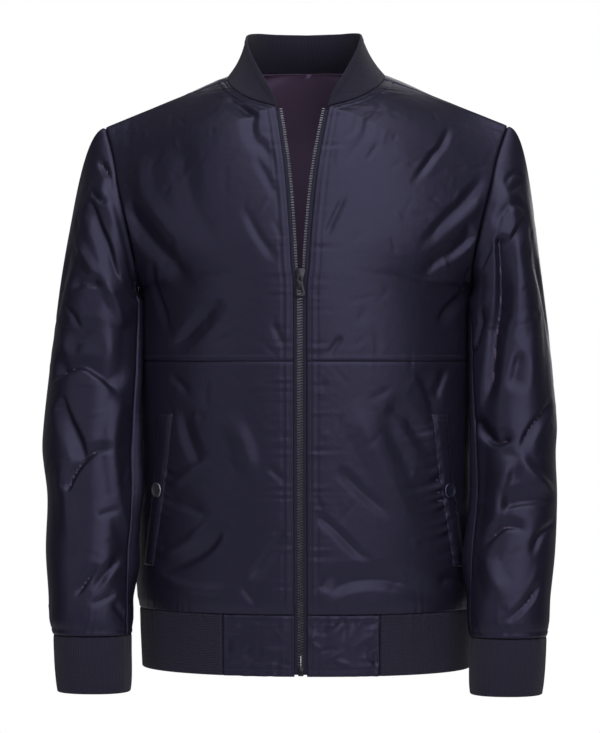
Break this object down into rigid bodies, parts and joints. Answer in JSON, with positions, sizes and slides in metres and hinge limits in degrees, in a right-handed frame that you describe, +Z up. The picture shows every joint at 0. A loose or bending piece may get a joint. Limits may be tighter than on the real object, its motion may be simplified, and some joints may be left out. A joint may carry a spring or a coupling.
{
  "type": "bomber jacket",
  "caption": "Zip-front bomber jacket in dark navy nylon with rib collar, cuffs and hem band, filled out as if worn, sleeves hanging, zip open to the chest.",
  "frame": {"origin": "middle of the neck, level with where the shoulder seams meet the collar, as it sits on the wearer", "axes": "+Z up, the front faces -Y, +X to the wearer's left"},
  "size_m": [0.5847, 0.2626, 0.755],
  "materials": {
    "nylon": "dark navy woven nylon with a satin sheen",
    "rib_knit": "dark navy matt rib knit",
    "lining": "dark plum lining cloth",
    "zip_tape": "dark navy woven tape",
    "zip_teeth": "dark grey metal teeth",
    "dark_metal": "blackened metal",
    "snap_metal": "satin grey metal cap"
  },
  "bodies": {
    "jacket": {"back": "nylon", "collar": "rib_knit", "cuff_left": "rib_knit", "cuff_right": "rib_knit", "front_left_lower": "nylon", "front_left_upper": "nylon", "front_right_lower": "nylon", "front_right_upper": "nylon", "hem_front_left": "nylon", "hem_front_right": "nylon", "hem_rib": "rib_knit", "lining_back": "lining", "pocket_welt_left": "nylon", "pocket_welt_right": "nylon", "sleeve_left_top": "nylon", "sleeve_left_under": "nylon", "sleeve_right_top": "nylon", "sleeve_right_under": "nylon", "snap_left": "snap_metal", "snap_right": "snap_metal", "zip_box": "dark_metal", "zip_slider": "dark_metal", "zip_tape_left": "zip_tape", "zip_tape_right": "zip_tape", "zip_teeth_left": "zip_teeth", "zip_teeth_right": "zip_teeth"},
    "pull": {"zip_pull": "dark_metal"}
  },
  "joints": [
    {"name": "zip_pull_hinge", "type": "hinge", "parent": "jacket", "child": "pull", "pos_m": [0, -0.12715, -0.2334], "axis": [-1, 0, 0], "range_deg": [0, 150]}
  ]
}
